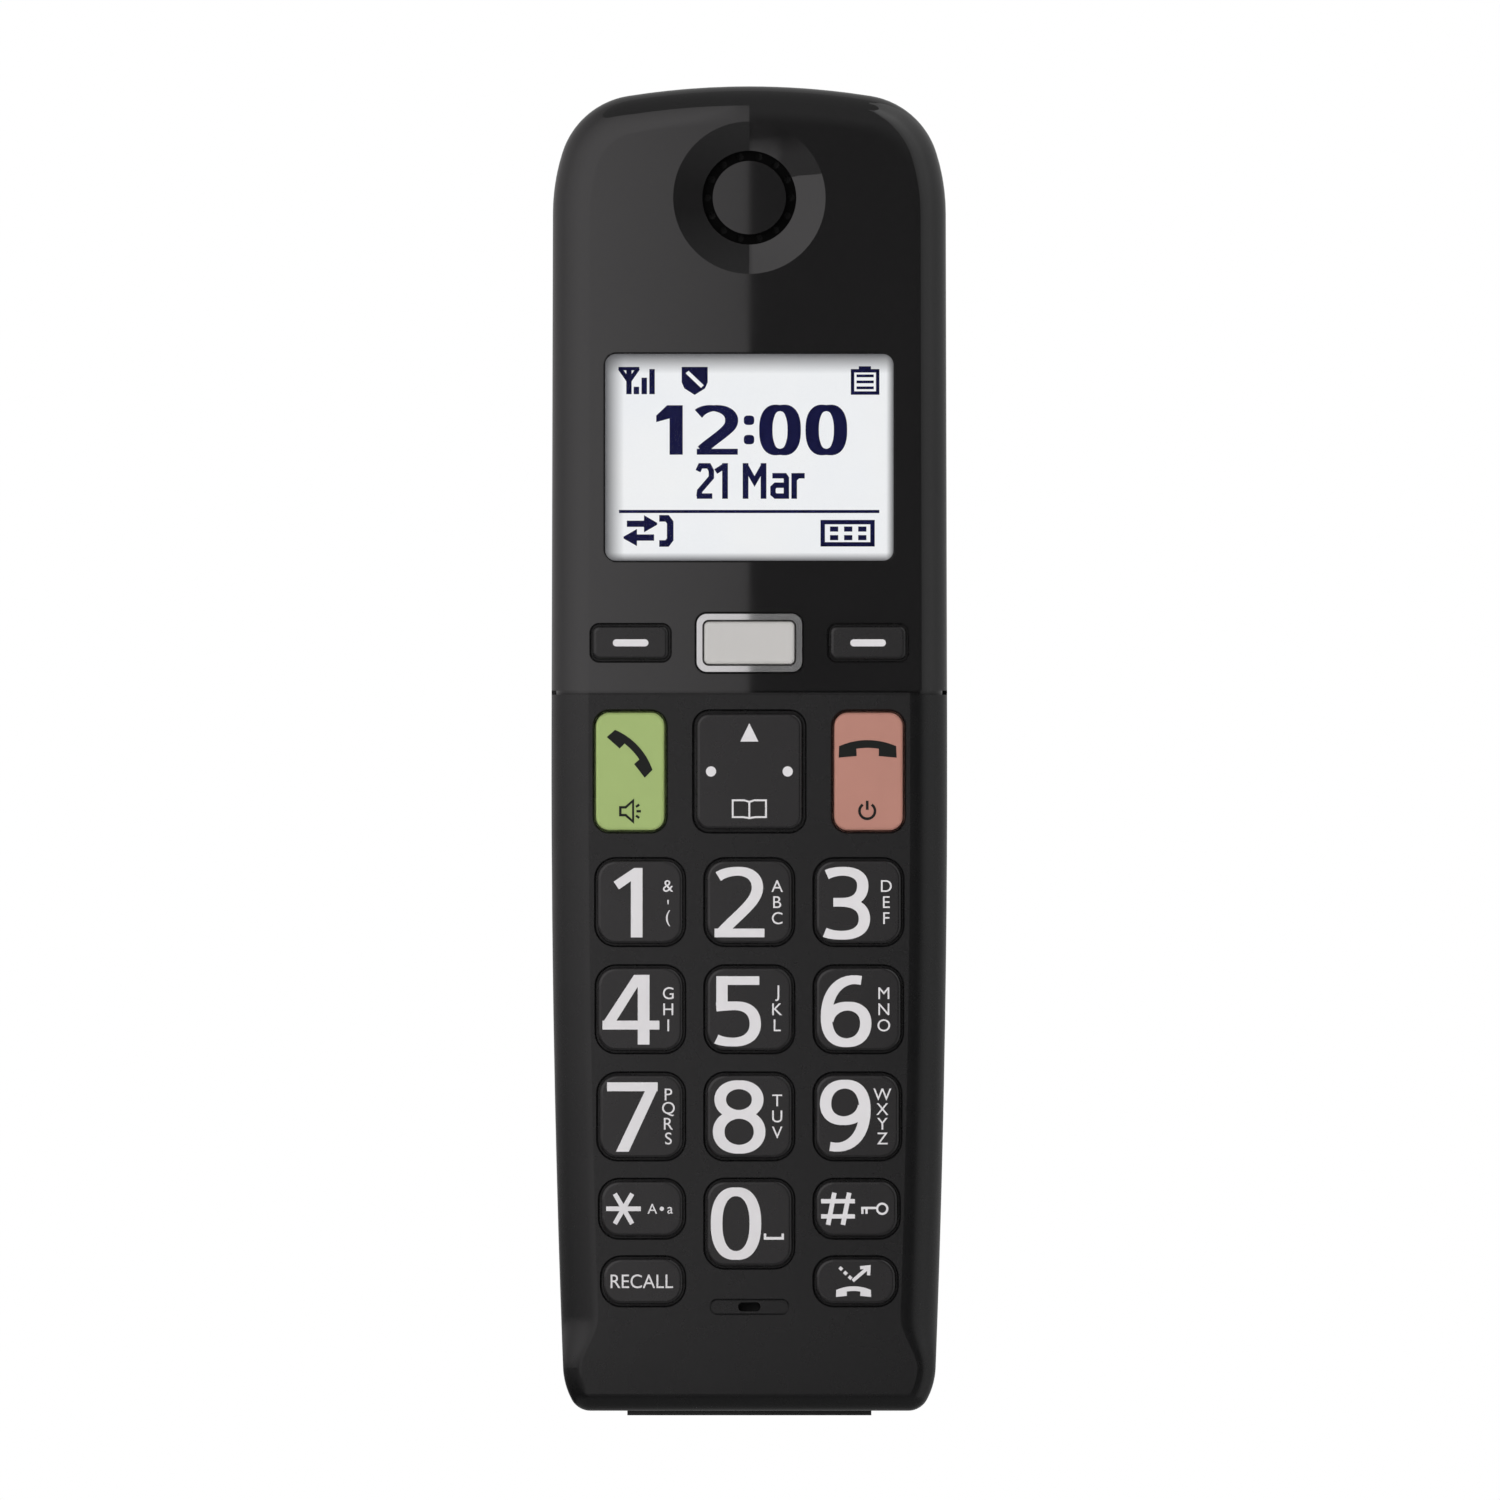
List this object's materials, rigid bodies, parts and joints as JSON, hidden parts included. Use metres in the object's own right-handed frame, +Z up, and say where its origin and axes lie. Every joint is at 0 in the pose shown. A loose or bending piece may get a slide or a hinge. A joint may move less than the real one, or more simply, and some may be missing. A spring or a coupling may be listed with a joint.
{
  "type": "cordless telephone handset",
  "caption": "Cordless telephone handset with a display, keypad, earpiece and battery bay; keys press, the cover lifts off.",
  "frame": {"origin": "middle of the foot, on the surface that the handset stands on", "axes": "+Z up to the earpiece, -Y to the front with the keys, +X to the right seen from the front"},
  "size_m": [0.048, 0.028, 0.1612],
  "materials": {
    "gloss_black": "polished",
    "matte_black": "fine moulded texture",
    "key_black": "satin",
    "soft_key_black": "polished",
    "key_green": "satin",
    "key_red": "satin",
    "key_silver": "satin metallic paint",
    "bright_chrome": "polished",
    "clear_window": "polished clear acrylic",
    "lcd_panel": "lit display panel",
    "frame_white": "moulded",
    "flex_film": "polyimide film",
    "foam_black": "soft foam",
    "speaker_metal": "stamped",
    "screw_steel": "zinc plated",
    "cell_sleeve": "printed sleeve",
    "spring_nickel": "nickel plated",
    "board_green": "solder mask",
    "mat_rubber": "silicone",
    "dome_steel": "bright",
    "shield_tin": "tinned",
    "chip_black": "moulded epoxy",
    "aerial_brass": "stamped",
    "mic_metal": "drawn",
    "contact_nickel": "nickel plated",
    "pivot_white": "moulded"
  },
  "bodies": {
    "handset": {"upper_panel": "gloss_black", "front_case": "matte_black", "rear_case": "matte_black", "display_window": "clear_window", "earpiece_cap": "gloss_black", "smart_key_bezel": "bright_chrome", "lcd_glass": "lcd_panel", "lcd_frame": "frame_white", "backlight": "frame_white", "lcd_ribbon": "flex_film", "earpiece_gasket": "foam_black", "earpiece_speaker": "speaker_metal", "rear_speaker": "speaker_metal", "rear_speaker_gasket": "foam_black", "case_screws": "screw_steel", "battery_cell_left": "cell_sleeve", "battery_cell_right": "cell_sleeve", "battery_springs": "spring_nickel", "battery_contacts": "spring_nickel", "main_pcb": "board_green", "keypad_mat": "mat_rubber", "contact_domes": "dome_steel", "rf_shield": "shield_tin", "board_chips": "chip_black", "antenna": "aerial_brass", "microphone": "mic_metal", "microphone_boot": "foam_black", "charge_contacts": "contact_nickel"},
    "key_0": {"key_0": "key_black"},
    "key_1": {"key_1": "key_black"},
    "key_2": {"key_2": "key_black"},
    "key_3": {"key_3": "key_black"},
    "key_4": {"key_4": "key_black"},
    "key_5": {"key_5": "key_black"},
    "key_6": {"key_6": "key_black"},
    "key_7": {"key_7": "key_black"},
    "key_8": {"key_8": "key_black"},
    "key_9": {"key_9": "key_black"},
    "key_star": {"key_star": "key_black"},
    "key_hash": {"key_hash": "key_black"},
    "key_recall": {"key_recall": "key_black"},
    "key_call_block": {"key_call_block": "key_black"},
    "key_talk": {"key_talk": "key_green"},
    "key_hang_up": {"key_hang_up": "key_red"},
    "soft_key_left": {"soft_key_left": "soft_key_black"},
    "soft_key_right": {"soft_key_right": "soft_key_black"},
    "smart_key": {"smart_key": "key_silver"},
    "nav_key_pivot": {"nav_key_pivot": "pivot_white"},
    "nav_key": {"nav_key": "key_black"},
    "battery_cover": {"battery_cover": "matte_black"}
  },
  "joints": [
    {"name": "key_0_press", "type": "slide", "parent": "handset", "child": "key_0", "axis": [0, 1, 0], "range_m": [0, 0.0008], "stiffness_N_per_m": 400},
    {"name": "key_1_press", "type": "slide", "parent": "handset", "child": "key_1", "axis": [0, 1, 0], "range_m": [0, 0.0008], "stiffness_N_per_m": 400},
    {"name": "key_2_press", "type": "slide", "parent": "handset", "child": "key_2", "axis": [0, 1, 0], "range_m": [0, 0.0008], "stiffness_N_per_m": 400},
    {"name": "key_3_press", "type": "slide", "parent": "handset", "child": "key_3", "axis": [0, 1, 0], "range_m": [0, 0.0008], "stiffness_N_per_m": 400},
    {"name": "key_4_press", "type": "slide", "parent": "handset", "child": "key_4", "axis": [0, 1, 0], "range_m": [0, 0.0008], "stiffness_N_per_m": 400},
    {"name": "key_5_press", "type": "slide", "parent": "handset", "child": "key_5", "axis": [0, 1, 0], "range_m": [0, 0.0008], "stiffness_N_per_m": 400},
    {"name": "key_6_press", "type": "slide", "parent": "handset", "child": "key_6", "axis": [0, 1, 0], "range_m": [0, 0.0008], "stiffness_N_per_m": 400},
    {"name": "key_7_press", "type": "slide", "parent": "handset", "child": "key_7", "axis": [0, 1, 0], "range_m": [0, 0.0008], "stiffness_N_per_m": 400},
    {"name": "key_8_press", "type": "slide", "parent": "handset", "child": "key_8", "axis": [0, 1, 0], "range_m": [0, 0.0008], "stiffness_N_per_m": 400},
    {"name": "key_9_press", "type": "slide", "parent": "handset", "child": "key_9", "axis": [0, 1, 0], "range_m": [0, 0.0008], "stiffness_N_per_m": 400},
    {"name": "key_star_press", "type": "slide", "parent": "handset", "child": "key_star", "axis": [0, 1, 0], "range_m": [0, 0.0008], "stiffness_N_per_m": 400},
    {"name": "key_hash_press", "type": "slide", "parent": "handset", "child": "key_hash", "axis": [0, 1, 0], "range_m": [0, 0.0008], "stiffness_N_per_m": 400},
    {"name": "key_recall_press", "type": "slide", "parent": "handset", "child": "key_recall", "axis": [0, 1, 0], "range_m": [0, 0.0008], "stiffness_N_per_m": 400},
    {"name": "key_call_block_press", "type": "slide", "parent": "handset", "child": "key_call_block", "axis": [0, 1, 0], "range_m": [0, 0.0008], "stiffness_N_per_m": 400},
    {"name": "key_talk_press", "type": "slide", "parent": "handset", "child": "key_talk", "axis": [0, 1, 0], "range_m": [0, 0.0008], "stiffness_N_per_m": 400},
    {"name": "key_hang_up_press", "type": "slide", "parent": "handset", "child": "key_hang_up", "axis": [0, 1, 0], "range_m": [0, 0.0008], "stiffness_N_per_m": 400},
    {"name": "soft_key_left_press", "type": "slide", "parent": "handset", "child": "soft_key_left", "axis": [0, 1, 0], "range_m": [0, 0.0008], "stiffness_N_per_m": 400},
    {"name": "soft_key_right_press", "type": "slide", "parent": "handset", "child": "soft_key_right", "axis": [0, 1, 0], "range_m": [0, 0.0008], "stiffness_N_per_m": 400},
    {"name": "smart_key_press", "type": "slide", "parent": "handset", "child": "smart_key", "axis": [0, 1, 0], "range_m": [0, 0.0008], "stiffness_N_per_m": 400},
    {"name": "nav_key_tip_up_down", "type": "hinge", "parent": "handset", "child": "nav_key_pivot", "pos_m": [0, -0.0097, 0.0781], "axis": [1, 0, 0], "range_deg": [-2.3, 2.3], "stiffness_Nm_per_rad": 0.1},
    {"name": "nav_key_tip_left_right", "type": "hinge", "parent": "nav_key_pivot", "child": "nav_key", "pos_m": [0, -0.0097, 0.0781], "axis": [0, 0, 1], "range_deg": [-2.3, 2.3], "stiffness_Nm_per_rad": 0.1},
    {"name": "battery_cover_lift", "type": "slide", "parent": "handset", "child": "battery_cover", "axis": [0, 1, 0], "range_m": [0, 0.03]}
  ]
}
